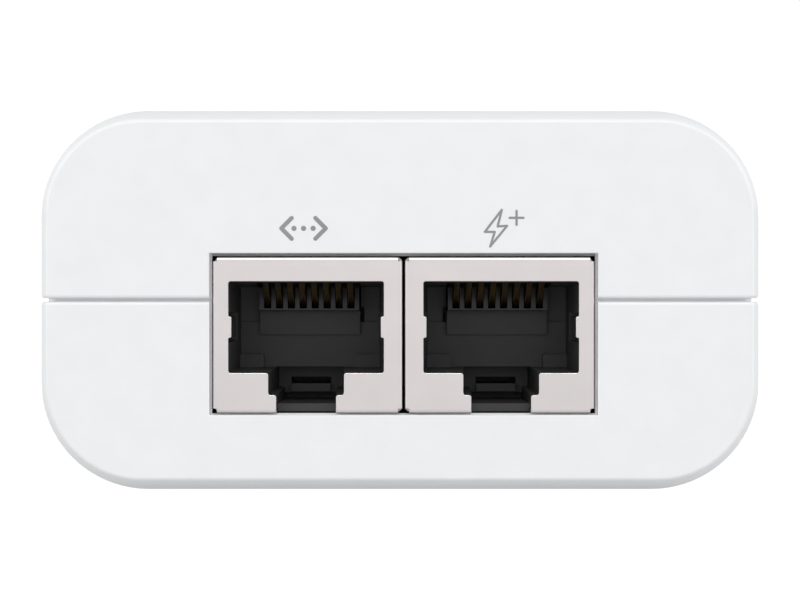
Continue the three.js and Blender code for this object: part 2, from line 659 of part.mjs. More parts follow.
function chokeCore() {
  const base = box([CHOKE.x - 4, CHOKE.x + 4], [CHOKE.y - 6, CHOKE.y + 6], [SEAT, SEAT + 0.5]);
  const post = box([CHOKE.x - 1.6, CHOKE.x + 1.6], [CHOKE.y - 1.2, CHOKE.y + 1.2], [SEAT, SEAT + 2.8]);
  return join(chokeRing(2.2, 1.3), base, post);
}

// One of the choke's two coils, a sleeve of turns round half of the ring.
function chokeWinding(side) {
  const beside = side > 0 ? [CHOKE.y + 1.8, CHOKE.y + 12] : [CHOKE.y - 12, CHOKE.y - 1.8];
  const turns = common(chokeRing(3.3, 1.22), box(wide, beside, [0, 60]));
  return cut(turns, chokeRing(2.5, 1.22));
}

function filmCapacitor() {
  return prismZ(roundedRect(17.5, 8.5, 0.6, 2.5, 30), SEAT, SEAT + 14.5);
}

// A thin disc part standing on edge on two leads.
function discPart(x, y, radius, thickness) {
  const disc = rodX(radius, x - thickness / 2, x + thickness / 2, y, SEAT + radius + 1.6);
  const leads = [-1, 1].map((side) => rodZ(0.4, x, y + side * 2.5, SEAT, SEAT + 3, 8));
  return join(disc, ...leads);
}

function bridgeRectifier() {
  const [x, y] = [-20, 12];
  const body = box([x - 1.75, x + 1.75], [y - 7.2, y + 7.2], [SEAT + 2.5, SEAT + 13]);
  const leads = [-5.1, -1.7, 1.7, 5.1].map((dy) =>
    box([x - 0.4, x + 0.4], [y + dy - 0.5, y + dy + 0.5], [SEAT, SEAT + 3]),
  );
  return join(body, ...leads);
}

function fuse() {
  const body = rodZ(4.2, 20, 24.5, SEAT + 0.5, SEAT + 8.5);
  const leads = [-2.5, 2.5].map((dx) => rodZ(0.4, 20 + dx, 24.5, SEAT, SEAT + 1, 8));
  return join(body, ...leads);
}

// ---------------------------------------------------------------- finishes and assembly

const finish = (color, roughness, metalness = 0) =>
  new THREE.MeshStandardMaterial({ color, roughness, metalness });

const FINISH = {
  whitePlastic: finish(0xeff0f1, 0.45),
  blackPlastic: finish(0x2c2c2e, 0.5),
  nickel: finish(0xd6cecf, 0.3, 0.9),
  gold: finish(0xb8934a, 0.3, 0.9),
  label: finish(0xe2e3e4, 0.6),
  board: finish(0x1f5a3a, 0.5),
  steel: finish(0xb9bbbd, 0.35, 0.9),
  aluminium: finish(0xbfc2c4, 0.4, 0.9),
  ferrite: finish(0x3a3a3c, 0.7),
  tape: finish(0xd9b63a, 0.5),
  copper: finish(0xb06a3a, 0.35, 0.8),
  sleeve: finish(0x2a2f45, 0.45),
  filmYellow: finish(0xe0b733, 0.5),
  discBlue: finish(0x3a6fb0, 0.5),
  discGreen: finish(0x4a6b4a, 0.6),
};

function part(name, geometry, material) {
  const mesh = new THREE.Mesh(geometry, material);
  mesh.name = name;
  return mesh;
}

const injector = new THREE.Group();
const add = (name, geometry, material) => injector.add(part(name, geometry, material));

add("upper_shell", upperShell(), FINISH.whitePlastic);
add("lower_shell", lowerShell(), FINISH.whitePlastic);
add("rating_label", ratingLabel(), FINISH.label);
injector.add(jack("data_jack", -1));
injector.add(jack("poe_jack", 1));
injector.add(mainsInlet());

add("circuit_board", circuitBoard(), FINISH.board);
SCREW_SPOTS.forEach((spot, i) => add(`board_screw_${i + 1}`, boardScrew(spot), FINISH.steel));

add("lan_transformer", chip(-9, -33, 12.7, 15.1, 5.7, 12, 1.2), FINISH.blackPlastic);
add("poe_controller", chip(5.5, -33, 7.5, 10.3, 2.3, 8), FINISH.blackPlastic);
add("optocoupler", chip(9.5, -21, 6.5, 4.6, 3.4, 2, 0.8), FINISH.blackPlastic);
[-28, -16.5].forEach((y, i) =>
  add(`output_capacitor_${i + 1}`, standingCapacitor(19.5, y, 5, 17), FINISH.sleeve),
);
add("output_heatsink", heatsink(21, 2, 1, 20), FINISH.aluminium);
add("output_rectifier", powerPackage(21, 2, 1), FINISH.blackPlastic);
add("output_rectifier_screw", clampScrew(21, 2, 1), FINISH.steel);
add("transformer_core", transformerCore(), FINISH.ferrite);
add("transformer_bobbin", transformerBobbin(), FINISH.blackPlastic);
add("transformer_winding", transformerWinding(), FINISH.tape);
add("primary_heatsink", heatsink(-21, -12, -1, 24), FINISH.aluminium);
add("primary_mosfet", powerPackage(-21, -12, -1), FINISH.blackPlastic);
add("primary_mosfet_screw", clampScrew(-21, -12, -1), FINISH.steel);
add("bulk_capacitor", bulkCapacitor(), FINISH.sleeve);
add("bridge_rectifier", bridgeRectifier(), FINISH.blackPlastic);
add("choke_core", chokeCore(), FINISH.ferrite);
add("choke_winding_1", chokeWinding(1), FINISH.copper);
add("choke_winding_2", chokeWinding(-1), FINISH.copper);
add("film_capacitor", filmCapacitor(), FINISH.filmYellow);
add("safety_capacitor", discPart(-9, -20.5, 4, 3.4), FINISH.discBlue);
add("thermistor", discPart(15.5, 33.5, 4.5, 3.6), FINISH.discGreen);
add("mains_fuse", fuse(), FINISH.blackPlastic);

export default injector;
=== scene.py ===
"""A two-port power-over-Ethernet injector seen from its jack end, on a white sweep.

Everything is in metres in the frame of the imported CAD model: +Z up, +Y from the jacks to the mains inlet.
"""

import json
import math

import bmesh
import bpy
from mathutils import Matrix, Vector

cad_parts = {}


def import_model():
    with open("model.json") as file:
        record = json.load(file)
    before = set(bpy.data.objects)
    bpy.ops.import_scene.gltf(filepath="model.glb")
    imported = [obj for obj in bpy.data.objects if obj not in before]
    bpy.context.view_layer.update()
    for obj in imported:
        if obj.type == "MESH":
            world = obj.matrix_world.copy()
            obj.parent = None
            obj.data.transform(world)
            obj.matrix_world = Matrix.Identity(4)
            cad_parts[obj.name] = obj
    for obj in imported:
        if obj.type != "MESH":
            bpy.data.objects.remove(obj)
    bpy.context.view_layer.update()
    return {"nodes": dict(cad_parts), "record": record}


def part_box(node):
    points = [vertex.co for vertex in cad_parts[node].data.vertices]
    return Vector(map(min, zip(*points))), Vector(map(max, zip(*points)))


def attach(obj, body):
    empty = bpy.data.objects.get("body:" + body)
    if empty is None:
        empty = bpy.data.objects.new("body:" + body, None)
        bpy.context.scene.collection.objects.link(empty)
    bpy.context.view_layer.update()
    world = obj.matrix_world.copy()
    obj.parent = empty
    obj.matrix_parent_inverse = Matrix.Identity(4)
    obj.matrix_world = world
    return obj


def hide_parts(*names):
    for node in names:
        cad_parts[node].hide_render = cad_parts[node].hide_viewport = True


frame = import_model()

MM = 0.001
ROOT = "injector"

# ---------------------------------------------------------------- sizes read from the frame

upper_low, upper_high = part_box("upper_shell")
FRONT = upper_low[1]
REAR = upper_high[1]
LENGTH = REAR - FRONT
CASE_W = upper_high[0] - upper_low[0]
CASE_H = 32.3 * MM
TOP = upper_high[2]
MID_Z = TOP - CASE_H / 2
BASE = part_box("lower_shell")[0][2]
screw_boxes = [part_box(f"board_screw_{i}") for i in range(1, 5)]
SCREW_SPOTS = [((low[0] + high[0]) / 2, (low[1] + high[1]) / 2) for low, high in screw_boxes]

# ---------------------------------------------------------------- sizes of the case

CORNER_R = 9.15 * MM
WALL = 2.0 * MM
END_DRAW_IN = 1.26 * MM  # how far the sides stand in at each end, along an arc
END_ARC_R = 27.6 * MM
END_RUN = math.sqrt(END_ARC_R**2 - (END_ARC_R - END_DRAW_IN) ** 2)
EDGE_R = 0.25 * MM
SPLIT = 0.03 * MM  # between the two halves
SEAM_GAP = 0.32 * MM  # the shallow groove outside them
SEAM_DEPTH = 0.6 * MM
SEAM_ROUND = 0.24 * MM
TONGUE_SET_IN = 1.1 * MM
TONGUE_H = 1.2 * MM
PLAY = 0.2 * MM  # of the tongue in its rebate
PLINTH = (44.8 * MM, 108 * MM, 6 * MM)  # width, length and corner radius
PLINTH_H = MID_Z - CASE_H / 2 - BASE
PLINTH_ROUND = 0.1 * MM
LABEL = (33.6 * MM, 61.6 * MM, 1.8 * MM)  # width, length and corner radius
LABEL_DEPTH = 0.2 * MM
LABEL_PLAY = 0.2 * MM
FLOOR_Z = BASE + PLINTH_H + WALL
CEILING_Z = TOP - WALL
RIB = (38 * MM, 1.2 * MM, 1.5 * MM)  # width, thickness and height of the ribs under the top
RIB_PLACES = (-30 * MM, -5 * MM, 22 * MM, 48 * MM)
BOSS_R = 3.2 * MM  # of the bosses under the board, and of the holes for its screws
PILOT_R = 1.15 * MM
INLET_HOLE = (27.5 * MM, 20.3 * MM, 4.8 * MM, 2.1 * MM)  # width, height, bevel and corner radius
INLET_STOP = ((13.6 * MM, 20 * MM), (56.9 * MM, 57.9 * MM))  # from the middle, and along Y

# ---------------------------------------------------------------- sizes of the window round the jacks

CUT_SIDE = 0.25 * MM  # from the shields to the edge of the recess
CUT_TOP = 0.3 * MM
CUT_UNDER = 0.17 * MM
CUT_DEPTH = 0.85 * MM
CUT_DEPTH_TOP = 1.7 * MM  # of the strip above the shields
FIT = 0.1 * MM  # play of the shields in the tight opening behind that recess
FIT_UNDER = 0.07 * MM
WINDOW_ROUND = 0.1 * MM

# ---------------------------------------------------------------- sizes of the jacks

JACKS = {"data_jack": (-1, "data_contacts"), "poe_jack": (1, "poe_contacts")}
JACK_W = 15.7 * MM
JACK_H = 12.9 * MM
SHEET = 0.25 * MM  # the shield's thickness
FOLD_R = 0.24 * MM
RELIEF = 0.36 * MM  # the notches at the corners of the shield's front
RELIEF_DEPTH = 2.5 * MM
PORT_SHIFT = 0.12 * MM  # of a port away from the middle of its shield

# These are in millimetres in the port's own frame: half widths, heights over the jack's base, and depths.
PORT_HALF = 6.43
PORT_TOP = 10.88
SHOULDER = 3.3
TAB_HALF = 6.18
TAB_LOW = 6.21
TAB_HIGH = 7.97
LATCH_HALF = 3.13
LATCH_STEP = 1.48
KEY_HALF = 2.47
KEY_FLOOR = 0.71
CLEAR = 0.02  # of the insulator's hollows outside the shield's opening
MOUTH = 0.2
CAVITY_END = 10
CHANNEL_END = 12.6
LATCH_WELL = ((-1.74, 1.74), (2.06, 2.62))  # across and up
KEY_WELL = ((-2.3, 2.3), (KEY_FLOOR, 1.28))
COVER_FRONT = 7.6
COVER_BACK = 13.6

WIRES = 8
WIRE_PITCH = 1.02
WIRE_W = 0.46
WIRE_T = 0.3
PIVOT_Y = 3.6
PIVOT_Z = 11.25
BEND_R = 0.42

# ---------------------------------------------------------------- camera

VIEW_DISTANCE = 0.210
VIEW_WIDTH = 66.1 * MM  # what the picture's width spans at the case's front face
SENSOR = 36

camera_data = bpy.data.cameras.new("camera")
camera = bpy.data.objects.new("camera", camera_data)
bpy.context.scene.collection.objects.link(camera)
camera_data.sensor_width = SENSOR
camera_data.lens = SENSOR * VIEW_DISTANCE / VIEW_WIDTH
camera_data.clip_start = 0.01
camera_data.clip_end = 20
camera.location = (0, FRONT - VIEW_DISTANCE, MID_Z)
camera.rotation_euler = (math.radians(90), 0, 0)
bpy.context.scene.camera = camera

# ---------------------------------------------------------------- meshes

HAIR = 0.004 * MM  # keeps a cutter's round edge off the face that it leaves
FLARE = 0.1 * MM


def new_object(name, verts, faces):
    mesh = bpy.data.meshes.new(name)
    mesh.from_pydata([tuple(v) for v in verts], [], faces)
    mesh.update()
    bm = bmesh.new()
    bm.from_mesh(mesh)
    bmesh.ops.recalc_face_normals(bm, faces=bm.faces)
    bm.to_mesh(mesh)
    bm.free()
    piece = bpy.data.objects.new(name, mesh)
    bpy.context.scene.collection.objects.link(piece)
    return piece


def loft(rings, name="tool", closed=False):
    """Skins equal rings of points, with a flat cap on each end, or round to the first ring if closed."""
    count = len(rings[0])
    verts = [point for ring in rings for point in ring]
    pairs = [(r, r + 1) for r in range(len(rings) - 1)]
    if closed:
        pairs.append((len(rings) - 1, 0))
    faces = []
    for a, b in pairs:
        for i in range(count):
            j = (i + 1) % count
            faces.append((a * count + i, a * count + j, b * count + j, b * count + i))
    if not closed:
        faces.append(tuple(range(count)))
        faces.append(tuple(len(verts) - 1 - i for i in range(count)))
    return new_object(name, verts, faces)


def box(x, y, z):
    """A box from its ranges along X, Y and Z, as a tool for the booleans below."""
    base = [(x[0], y[0]), (x[1], y[0]), (x[1], y[1]), (x[0], y[1])]
    return loft([[(px, py, pz) for px, py in base] for pz in z])


def apply_modifiers(piece):
    bpy.context.view_layer.update()
    graph = bpy.context.evaluated_depsgraph_get()
    mesh = bpy.data.meshes.new_from_object(piece.evaluated_get(graph))
    piece.modifiers.clear()
    piece.data = mesh


def combine(piece, operation, tools):
    """Cuts, joins or intersects piece with each tool in turn, and removes the tools."""
    for tool in tools:
        modifier = piece.modifiers.new("boolean", "BOOLEAN")
        modifier.operation = operation
        modifier.solver = "MANIFOLD"
        modifier.object = tool
        apply_modifiers(piece)
        bpy.data.objects.remove(tool)
    return piece


def triangulate(piece):
    """Splits a piece's faces, so that a boolean leaves no face with a very concave outline."""
    piece.modifiers.new("triangles", "TRIANGULATE")
    apply_modifiers(piece)


def cut(piece, *tools):
    return combine(piece, "DIFFERENCE", tools)


def join(piece, *tools):
    return combine(piece, "UNION", tools)


def common(piece, *tools):
    return combine(piece, "INTERSECT", tools)


def soften(piece, width=0.0, angle=30, segments=2):
    """Rounds a piece's sharp edges by width, and shades it smooth with its flats kept flat."""
    if width:
        bevel = piece.modifiers.new("bevel", "BEVEL")
        bevel.width = width
        bevel.segments = segments
        bevel.limit_method = "ANGLE"
        bevel.angle_limit = math.radians(angle)
    if piece.name not in frame["nodes"]:
        apply_modifiers(piece)
        for polygon in piece.data.polygons:
            polygon.use_smooth = True
        piece.data.set_sharp_from_angle(angle=math.radians(angle))
        weighted = piece.modifiers.new("normals", "WEIGHTED_NORMAL")
        weighted.keep_sharp = True
        weighted.weight = 60
        apply_modifiers(piece)
    return piece


def rounded_corners(points, radius, steps=5):
    """A closed outline with each corner turned into an arc, smaller where its sides are short."""
    out = []
    count = len(points)
    for i in range(count):
        here = Vector(points[i])
        to_last = Vector(points[i - 1]) - here
        to_next = Vector(points[(i + 1) % count]) - here
        half = to_last.angle(to_next) / 2
        reach = min(radius / math.tan(half), 0.45 * to_last.length, 0.45 * to_next.length)
        start = here + to_last.normalized() * reach
        end = here + to_next.normalized() * reach
        middle = here + (to_last.normalized() + to_next.normalized()).normalized() * reach / math.cos(half)
        sweep = math.pi - 2 * half
        first = start - middle
        turn = 1 if first.cross(end - middle) > 0 else -1
        for k in range(steps + 1):
            a = turn * sweep * k / steps
            c, s = math.cos(a), math.sin(a)
            out.append((middle.x + first.x * c - first.y * s, middle.y + first.x * s + first.y * c))
    return out


def grown(points, distance):
    """A closed outline moved outwards by distance, with mitred corners. Its points run anticlockwise."""
    out = []
    count = len(points)
    for i in range(count):
        here = Vector(points[i])
        into = (here - Vector(points[i - 1])).normalized()
        away = (Vector(points[(i + 1) % count]) - here).normalized()
        normal = Vector((into.y + away.y, -into.x - away.x)).normalized()
        out.append(tuple(here + normal * (distance / normal.dot(Vector((away.y, -away.x))))))
    return out


def rectangle(width, height, cx=0.0, cz=0.0):
    x, z = width / 2, height / 2
    return [(cx - x, cz - z), (cx + x, cz - z), (cx + x, cz + z), (cx - x, cz + z)]


def rounded_rectangle(width, height, radius, cx=0.0, cz=0.0, steps=8):
    return rounded_corners(rectangle(width, height, cx, cz), radius, steps)


def prism_y(outline, y0, y1):
    return loft([[(x, y, z) for x, z in outline] for y in (y0, y1)])


def prism_z(outline, z0, z1, name="tool"):
    return loft([[(x, y, z) for x, y in outline] for z in (z0, z1)], name)


def rod_z(radius, x, y, z0, z1, sides=24):
    turn = 2 * math.pi / sides
    outline = [(x + radius * math.cos(turn * i), y + radius * math.sin(turn * i)) for i in range(sides)]
    return prism_z(outline, z0, z1)


def quarter(radius, steps=4):
    """(depth, growth) round a convex edge, from its face to its wall."""
    angles = [math.pi / 2 * k / steps for k in range(steps + 1)]
    return [(radius * (1 - math.cos(a)), radius * (1 - math.sin(a))) for a in angles]


def window_tool(outline, face, inward, depth, radius):
    """A cutter along Y for an opening in an end wall, flared so that the opening's edge comes out round."""
    run = [(-FLARE, radius + FLARE)]
    run += [(HAIR + d, g) for d, g in quarter(radius)]
    run.append((depth, 0))
    rings = [[(x, face + inward * d, z) for x, z in grown(outline, g)] for d, g in run]
    return loft(rings)


# ---------------------------------------------------------------- materials


def nodes_of(material):
    tree = material.node_tree
    return tree, next(n for n in tree.nodes if n.type == "BSDF_PRINCIPLED")


def surface(name, low, high, roughness, metallic=0.0, patch=400, grain=5000, bump=0.02, spread=0.05,
            coat=0.0, stretch=(1, 1, 1)):
    """A finish whose colour drifts between low and high, with a fine grain in its gloss and its relief.

    patch and grain are noise scales per metre, and stretch draws the grain out along an axis.
    """
    material = bpy.data.materials.new(name)
    material.use_nodes = True
    tree, shader = nodes_of(material)
    make, link = tree.nodes.new, tree.links.new
    shader.inputs["Metallic"].default_value = metallic
    shader.inputs["Coat Weight"].default_value = coat

    coordinates = make("ShaderNodeTexCoord")
    scale = make("ShaderNodeMapping")
    scale.inputs["Scale"].default_value = stretch
    link(coordinates.outputs["Object"], scale.inputs["Vector"])

    drift = make("ShaderNodeTexNoise")
    drift.inputs["Scale"].default_value = patch
    drift.inputs["Detail"].default_value = 3
    link(coordinates.outputs["Object"], drift.inputs["Vector"])
    ramp = make("ShaderNodeValToRGB")
    ramp.color_ramp.elements[0].position = 0.3
    ramp.color_ramp.elements[1].position = 0.7
    ramp.color_ramp.elements[0].color = (*low, 1)
    ramp.color_ramp.elements[1].color = (*high, 1)
    link(drift.outputs["Fac"], ramp.inputs["Fac"])
    link(ramp.outputs["Color"], shader.inputs["Base Color"])

    fine = make("ShaderNodeTexNoise")
    fine.inputs["Scale"].default_value = grain
    fine.inputs["Detail"].default_value = 4
    link(scale.outputs["Vector"], fine.inputs["Vector"])
    gloss = make("ShaderNodeMapRange")
    gloss.inputs["To Min"].default_value = roughness - spread
    gloss.inputs["To Max"].default_value = roughness + spread
    link(fine.outputs["Fac"], gloss.inputs["Value"])
    link(gloss.outputs["Result"], shader.inputs["Roughness"])
    relief = make("ShaderNodeBump")
    relief.inputs["Strength"].default_value = bump
    relief.inputs["Distance"].default_value = 0.02 * MM
    link(fine.outputs["Fac"], relief.inputs["Height"])
    link(relief.outputs["Normal"], shader.inputs["Normal"])
    return material


def banded(material, scale, direction, depth):
    """Adds fine parallel ridges to a finish, as turns of wire or wraps of tape have."""
    tree, shader = nodes_of(material)
    make, link = tree.nodes.new, tree.links.new
    coordinates = make("ShaderNodeTexCoord")
    wave = make("ShaderNodeTexWave")
    wave.bands_direction = direction
    wave.inputs["Scale"].default_value = scale
    wave.inputs["Distortion"].default_value = 0.4
    link(coordinates.outputs["Object"], wave.inputs["Vector"])
    relief = make("ShaderNodeBump")
    relief.inputs["Strength"].default_value = 0.6
    relief.inputs["Distance"].default_value = depth
    link(wave.outputs["Fac"], relief.inputs["Height"])
    link(relief.outputs["Normal"], shader.inputs["Normal"])
    return material


FINISHES = {
    "case": surface("white_moulding", (0.82, 0.832, 0.845), (0.84, 0.852, 0.862), 0.42, grain=7000,
                    bump=0.05),
    "label": surface("label_film", (0.70, 0.71, 0.72), (0.73, 0.74, 0.75), 0.55, grain=3000, bump=0.03),
    "shield": surface("nickel_sheet", (0.76, 0.715, 0.718), (0.79, 0.742, 0.745), 0.36, 1.0, patch=300,
                      grain=4000, bump=0.04, spread=0.06, stretch=(0.15, 1, 1)),
    "insulator": surface("black_moulding", (0.033, 0.033, 0.035), (0.041, 0.041, 0.043), 0.5, grain=6000,
                         bump=0.12),
    "contact": surface("gold_wire", (0.62, 0.42, 0.17), (0.72, 0.50, 0.22), 0.3, 1.0, patch=900,
                       grain=9000),
    "blade": surface("nickel_blade", (0.56, 0.55, 0.535), (0.64, 0.63, 0.61), 0.28, 1.0, grain=3000,
                     stretch=(1, 0.1, 1)),
    "board": surface("solder_mask", (0.008, 0.085, 0.038), (0.014, 0.12, 0.055), 0.4, patch=700, coat=0.3),
    "screw": surface("zinc_plate", (0.52, 0.53, 0.54), (0.62, 0.63, 0.63), 0.35, 1.0, patch=900),
    "heatsink": surface("plain_aluminium", (0.62, 0.63, 0.64), (0.70, 0.71, 0.71), 0.4, 1.0,
                        stretch=(1, 0.1, 1)),
    "package": surface("moulded_package", (0.018, 0.018, 0.019), (0.028, 0.028, 0.029), 0.55, bump=0.1),
    "ferrite": surface("sintered_ferrite", (0.035, 0.035, 0.038), (0.055, 0.055, 0.058), 0.7, patch=1500,
                       bump=0.3),
    "winding": banded(surface("winding_tape", (0.62, 0.44, 0.03), (0.70, 0.51, 0.05), 0.35), 300, "Z",
                      0.1 * MM),
    "copper": banded(surface("enamelled_wire", (0.45, 0.14, 0.05), (0.55, 0.20, 0.07), 0.3, 0.8), 500, "Y",
                     0.2 * MM),
    "sleeve": surface("shrink_sleeve", (0.018, 0.022, 0.05), (0.026, 0.031, 0.065), 0.35, coat=0.3),
    "film": surface("moulded_box", (0.70, 0.44, 0.02), (0.78, 0.50, 0.03), 0.4),
    "disc_blue": surface("blue_dip", (0.03, 0.13, 0.40), (0.045, 0.17, 0.47), 0.35, coat=0.3, patch=1200),
    "disc_green": surface("green_dip", (0.05, 0.13, 0.05), (0.08, 0.17, 0.08), 0.45, patch=1200),
}
# Painted shade: the spring tabs are the shield's nickel darkened to about a fifth, for the shadow they sit
# in.
SHADED_TAB_NICKEL = surface("spring_tab_painted_shade", (0.16, 0.15, 0.15), (0.2, 0.19, 0.19), 0.3, 1.0, patch=900)
PRINT = surface("printed_ink", (0.26, 0.265, 0.27), (0.29, 0.295, 0.30), 0.5, grain=9000, bump=0.05)

node_slots = {s["node"]: s["material_slot"] for s in frame["record"]["subparts"]}
for node_name, slot_name in node_slots.items():
    cad_mesh = frame["nodes"][node_name].data
    cad_mesh.materials.clear()
    cad_mesh.materials.append(FINISHES[slot_name])


def place(piece, body, slot_name, *stands_for, finish=None):
    """Gives a piece its finish and its body, and hides the CAD nodes that it stands for."""
    piece.data.materials.clear()
    piece.data.materials.append(finish or FINISHES[slot_name])
    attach(piece, body)
    if stands_for:
        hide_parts(*stands_for)
    return piece


# ---------------------------------------------------------------- case

FAR = 0.2
ALL = (-FAR, FAR)


def draw_in(y):
    """How far the case's sides stand in from its full section at y."""
    past = max(0.0, abs(y) - (LENGTH / 2 - END_RUN))
    return END_ARC_R - math.sqrt(END_ARC_R**2 - past**2)


def case_stations(inset, edge):
    """(y, extra inset) from the front to the rear, rounding the end edges by edge."""
    half = list(quarter(edge, 4)) if edge else [(0.0, 0.0)]
    arc_steps = 14
    half += [(edge + (END_RUN - inset - edge) * k / arc_steps, 0.0) for k in range(1, arc_steps + 1)]
    end = LENGTH / 2 - inset
    return [(-end + t, e) for t, e in half] + [(end - t, e) for t, e in reversed(half)]


def case_form(inset, edge=0.0, name="tool"):
    """The case's whole form set in by inset on every side, ends included."""
    rings = []
    for y, extra in case_stations(inset, edge):
        away = inset + extra + draw_in(y)
        width, height, radius = CASE_W - 2 * away, CASE_H - 2 * away, CORNER_R - away
        outline = rounded_rectangle(width, height, radius, 0, MID_Z, steps=20)
        rings.append([(x, y, z) for x, z in outline])
    return loft(rings, name)


def seam_round_tool():
    """A ring round the case at the seam, flared so that it rounds the edges of both halves."""
    right = [(CASE_W / 2 - draw_in(y) - e, y) for y, e in case_stations(0, EDGE_R)]
    plan = right + [(-x, y) for x, y in reversed(right)]
    half_gap = SEAM_GAP / 2
    flare = 0.3 * MM
    above = [(flare, half_gap + SEAM_ROUND + flare)]
    above += [(-HAIR - e, half_gap + d) for e, d in quarter(SEAM_ROUND)]
    profile = above + [(o, -z) for o, z in reversed(above)]
    levels = [[(x, y, MID_Z + z) for x, y in grown(plan, o)] for o, z in profile]
    return loft([list(ring) for ring in zip(*levels)], closed=True)


def seam_groove_tool():
    """The shallow groove that runs round the case between the rounded edges."""
    slab = box(ALL, ALL, (MID_Z - SEAM_GAP / 2, MID_Z + SEAM_GAP / 2))
    return cut(slab, case_form(SEAM_DEPTH))


def jack_opening(side, above, under):
    """The rectangle round both jacks, clear of them by so much at the sides, above and under."""
    low_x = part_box("data_jack_shield")[0][0] - side
    high_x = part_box("poe_jack_shield")[1][0] + side
    high_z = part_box("data_jack_shield")[1][2]
    low_z = high_z - JACK_H - under
    high_z += above
    return [(low_x, low_z), (high_x, low_z), (high_x, high_z), (low_x, high_z)]


def jack_windows():
    """Cutters for the recess round the jacks, the tight opening behind it, and a deeper strip above."""
    recess = window_tool(jack_opening(CUT_SIDE, CUT_TOP, CUT_UNDER), FRONT, 1, CUT_DEPTH, WINDOW_ROUND)
    through = prism_y(jack_opening(FIT, FIT, FIT_UNDER), FRONT - 1 * MM, FRONT + WALL + 1.5 * MM)
    strip = [(x, max(z, MID_Z)) for x, z in jack_opening(FIT, CUT_TOP, FIT_UNDER)]
    above = prism_y(strip, FRONT - 1 * MM, FRONT + CUT_DEPTH_TOP)
    return recess, through, above


def inlet_outline(width, height, bevel, radius):
    """The mains inlet's outline, bevelled on the earth side and rounded below."""
    x, z = width / 2, height / 2
    steps = 6
    lower = rounded_corners([(-x, MID_Z), (-x, MID_Z - z), (x, MID_Z - z), (x, MID_Z)], radius, steps)
    below = lower[steps + 1 : -steps - 1]  # the two rounded corners, without those at mid height
    above = [(x, z - bevel), (x - bevel, z), (-x + bevel, z), (-x, z - bevel)]
    return below + [(px, MID_Z + pz) for px, pz in above]


def inlet_window():
    return window_tool(inlet_outline(*INLET_HOLE), REAR, -1, WALL + 1.5 * MM, WINDOW_ROUND)


def top_shell():
    """The upper half of the case, with ribs inside and a rebate for the lower half's tongue."""
    shell = case_form(0, EDGE_R, "case_top")
    common(shell, box(ALL, ALL, (MID_Z + SPLIT / 2, FAR)))
    cut(shell, case_form(WALL), seam_round_tool(), seam_groove_tool(), *jack_windows(), inlet_window())
    rebate = cut(case_form(TONGUE_SET_IN - PLAY), case_form(WALL + 0.5 * MM))
    common(rebate, box(ALL, ALL, (MID_Z - 1 * MM, MID_Z + TONGUE_H + PLAY)))
    cut(shell, rebate)
    width, thickness, height = RIB
    for y in RIB_PLACES:
        along = (y - thickness / 2, y + thickness / 2)
        join(shell, box((-width / 2, width / 2), along, (CEILING_Z - height, CEILING_Z + 0.5 * MM)))
    soften(shell)
    return place(shell, ROOT, "case", "upper_shell")


def plinth():
    """The raised flat under the case, with a soft edge."""
    width, length, radius = PLINTH
    run = [(BASE + d, -e) for e, d in reversed(quarter(PLINTH_ROUND))]
    run.append((BASE + PLINTH_H + 0.6 * MM, 0.0))
    outline = rounded_rectangle(width, length, radius)
    return loft([[(x, y, z) for x, y in grown(outline, g)] for z, g in run])


def base_shell():
    """The lower half of the case, with its tongue, plinth, board bosses and inlet stops."""
    shell = case_form(0, EDGE_R, "case_base")
    common(shell, box(ALL, ALL, (-FAR, MID_Z - SPLIT / 2)))
    cut(shell, case_form(WALL), seam_round_tool(), seam_groove_tool())
    tongue = cut(case_form(TONGUE_SET_IN), case_form(WALL))
    common(tongue, box(ALL, ALL, (MID_Z - 1.5 * MM, MID_Z + TONGUE_H)))
    join(shell, tongue, plinth())
    board_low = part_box("circuit_board")[0][2]
    for x, y in SCREW_SPOTS:
        join(shell, rod_z(BOSS_R, x, y, FLOOR_Z - 0.5 * MM, board_low - 0.05 * MM))
    across, along = INLET_STOP
    for side in (-1, 1):
        edges = sorted(side * x for x in across)
        join(shell, box(edges, along, (FLOOR_Z - 0.5 * MM, MID_Z - 2 * MM)))
    for x, y in SCREW_SPOTS:
        cut(shell, rod_z(PILOT_R, x, y, FLOOR_Z + 0.2 * MM, board_low + 1 * MM, 16))
    width, length, radius = LABEL
    play = LABEL_PLAY
    outline = rounded_rectangle(width + 2 * play, length + 2 * play, radius + play)
    recess = prism_z(outline, BASE - 1 * MM, BASE + LABEL_DEPTH)
    cut(shell, *jack_windows(), inlet_window(), recess)
    soften(shell)
    return place(shell, ROOT, "case", "lower_shell")


def rating_label():
    """A blank label under the case."""
    low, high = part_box("rating_label")
    label = prism_z(rounded_rectangle(*LABEL), low[2], high[2], "label_blank")
    soften(label, 0.02 * MM)
    return place(label, ROOT, "label", "rating_label")


# ---------------------------------------------------------------- symbols printed above the jacks

INK = (FRONT - 0.015 * MM, FRONT + 0.05 * MM)


def stroke(a, b, width):
    """A line with round ends, printed on the front face. It is in millimetres from the face's middle."""
    a, b = Vector(a) * MM, Vector(b) * MM
    along = (b - a).normalized() if (b - a).length else Vector((1, 0))
    start = math.atan2(along.y, along.x)
    radius = width * MM / 2
    steps = 8
    outline = []
    for centre, first in ((b, start - math.pi / 2), (a, start + math.pi / 2)):
        for k in range(steps + 1):
            angle = first + math.pi * k / steps
            c, s = math.cos(angle), math.sin(angle)
            outline.append((centre.x + radius * c, MID_Z + centre.y + radius * s))
    return prism_y(outline, *INK)


def drawn(name, lines):
    first, *rest = [stroke(*line) for line in lines]
    first.name = name
    join(first, *rest)
    return place(soften(first), ROOT, "insulator", finish=PRINT)


def chain(points, width):
    return [(a, b, width) for a, b in zip(points, points[1:])]


